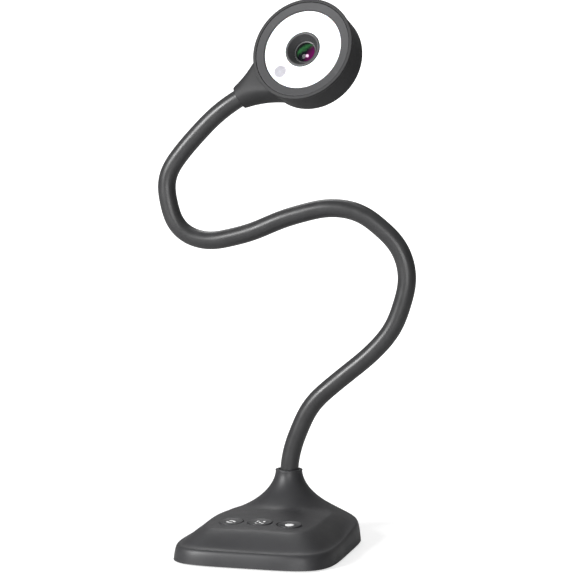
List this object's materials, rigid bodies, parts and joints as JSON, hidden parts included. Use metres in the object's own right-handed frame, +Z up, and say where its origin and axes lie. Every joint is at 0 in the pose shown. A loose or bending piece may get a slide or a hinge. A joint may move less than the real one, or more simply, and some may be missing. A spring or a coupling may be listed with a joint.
{
  "type": "document camera",
  "caption": "Gooseneck document camera: weighted square base with push keys, flexible arm, and a round head with a lens inside a lamp ring.",
  "frame": {"origin": "on the table, under the centre of the base's footprint", "axes": "+Z up, -Y to the front where the keys and the lens face, +X to the right seen from the front"},
  "size_m": [0.1652, 0.1227, 0.3314],
  "materials": {
    "base_plastic": "fine satin grain",
    "plate_steel": "black powder coat",
    "cast_weight": "as cast",
    "screw_steel": "zinc plated",
    "foot_rubber": "matte",
    "circuit_board": "solder mask",
    "switch_plastic": "matte",
    "socket_steel": "plated",
    "bush_brass": "turned",
    "cable_rubber": "matte",
    "key_plastic": "satin",
    "mark_print": "printed",
    "sleeve_rubber": "satin",
    "link_steel": "plain",
    "head_plastic": "fine satin grain",
    "ring_plastic": "satin",
    "diffuser_plastic": "translucent white",
    "lamp_board_white": "white mask",
    "lamp_package": "phosphor",
    "bezel_plastic": "matte black",
    "lens_glass": "green and purple coating",
    "sensor_die": "polished",
    "microphone_can": "plated",
    "mesh_metal": "grey"
  },
  "bodies": {
    "base": {"base_shell": "base_plastic", "shell_posts": "base_plastic", "base_plate": "plate_steel", "ballast_weight": "cast_weight", "ballast_screws": "screw_steel", "base_screws": "screw_steel", "rubber_feet": "foot_rubber", "control_board": "circuit_board", "key_switches": "switch_plastic", "usb_socket": "socket_steel", "usb_board": "circuit_board", "neck_ferrule": "bush_brass", "neck_screws": "screw_steel", "base_cable": "cable_rubber", "sleeve_0": "sleeve_rubber", "link_0": "link_steel"},
    "rotate_button": {"rotate_key": "key_plastic", "rotate_mark": "mark_print"},
    "focus_button": {"focus_key": "key_plastic", "focus_mark": "mark_print"},
    "light_button": {"light_key": "key_plastic", "light_mark": "mark_print"},
    "arm_1": {"sleeve_1": "sleeve_rubber", "link_1": "link_steel"},
    "arm_2": {"sleeve_2": "sleeve_rubber", "link_2": "link_steel"},
    "arm_3": {"sleeve_3": "sleeve_rubber", "link_3": "link_steel"},
    "arm_4": {"sleeve_4": "sleeve_rubber", "link_4": "link_steel"},
    "arm_5": {"sleeve_5": "sleeve_rubber", "link_5": "link_steel"},
    "arm_6": {"sleeve_6": "sleeve_rubber", "link_6": "link_steel"},
    "arm_7": {"sleeve_7": "sleeve_rubber", "link_7": "link_steel"},
    "head": {"sleeve_8": "sleeve_rubber", "link_8": "link_steel", "stem_ferrule": "bush_brass", "head_shell": "head_plastic", "front_ring": "ring_plastic", "diffuser": "diffuser_plastic", "lamp_board": "lamp_board_white", "lamps": "lamp_package", "lens_bezel": "bezel_plastic", "lens_barrel": "bezel_plastic", "front_lens": "lens_glass", "rear_lens": "lens_glass", "lens_holder": "bezel_plastic", "sensor_board": "circuit_board", "image_sensor": "sensor_die", "microphone": "microphone_can", "mic_mesh": "mesh_metal", "head_screws": "screw_steel", "head_cable": "cable_rubber"}
  },
  "joints": [
    {"name": "bend_1", "type": "hinge", "parent": "base", "child": "arm_1", "pos_m": [0.0073, 0.04, 0.06888], "axis": [0.9205, 0, -0.3907], "range_deg": [-25, 25]},
    {"name": "bend_2", "type": "hinge", "parent": "arm_1", "child": "arm_2", "pos_m": [0.04113, 0.04, 0.10661], "axis": [0, -1, 0], "range_deg": [-25, 25]},
    {"name": "bend_3", "type": "hinge", "parent": "arm_2", "child": "arm_3", "pos_m": [0.07137, 0.04, 0.14695], "axis": [0.9563, 0, -0.2924], "range_deg": [-25, 25]},
    {"name": "bend_4", "type": "hinge", "parent": "arm_3", "child": "arm_4", "pos_m": [0.05804, 0.04, 0.19256], "axis": [0, 1, 0], "range_deg": [-25, 25]},
    {"name": "bend_5", "type": "hinge", "parent": "arm_4", "child": "arm_5", "pos_m": [0.0101, 0.04, 0.20155], "axis": [-0.2588, 0, 0.9659], "range_deg": [-25, 25]},
    {"name": "bend_6", "type": "hinge", "parent": "arm_5", "child": "arm_6", "pos_m": [-0.03866, 0.04, 0.1853], "axis": [0, 1, 0], "range_deg": [-25, 25]},
    {"name": "bend_7", "type": "hinge", "parent": "arm_6", "child": "arm_7", "pos_m": [-0.07784, 0.04, 0.20614], "axis": [0.9744, 0, 0.225], "range_deg": [-25, 25]},
    {"name": "bend_8", "type": "hinge", "parent": "arm_7", "child": "head", "pos_m": [-0.05815, 0.04, 0.25021], "axis": [0, -1, 0], "range_deg": [-25, 25]},
    {"name": "rotate_push", "type": "slide", "parent": "base", "child": "rotate_button", "axis": [0, 0.0655, -0.9979], "range_m": [0, 0.0006], "stiffness_N_per_m": 600},
    {"name": "focus_push", "type": "slide", "parent": "base", "child": "focus_button", "axis": [0, 0.0655, -0.9979], "range_m": [0, 0.0006], "stiffness_N_per_m": 600},
    {"name": "light_push", "type": "slide", "parent": "base", "child": "light_button", "axis": [0, 0.0655, -0.9979], "range_m": [0, 0.0006], "stiffness_N_per_m": 600}
  ]
}
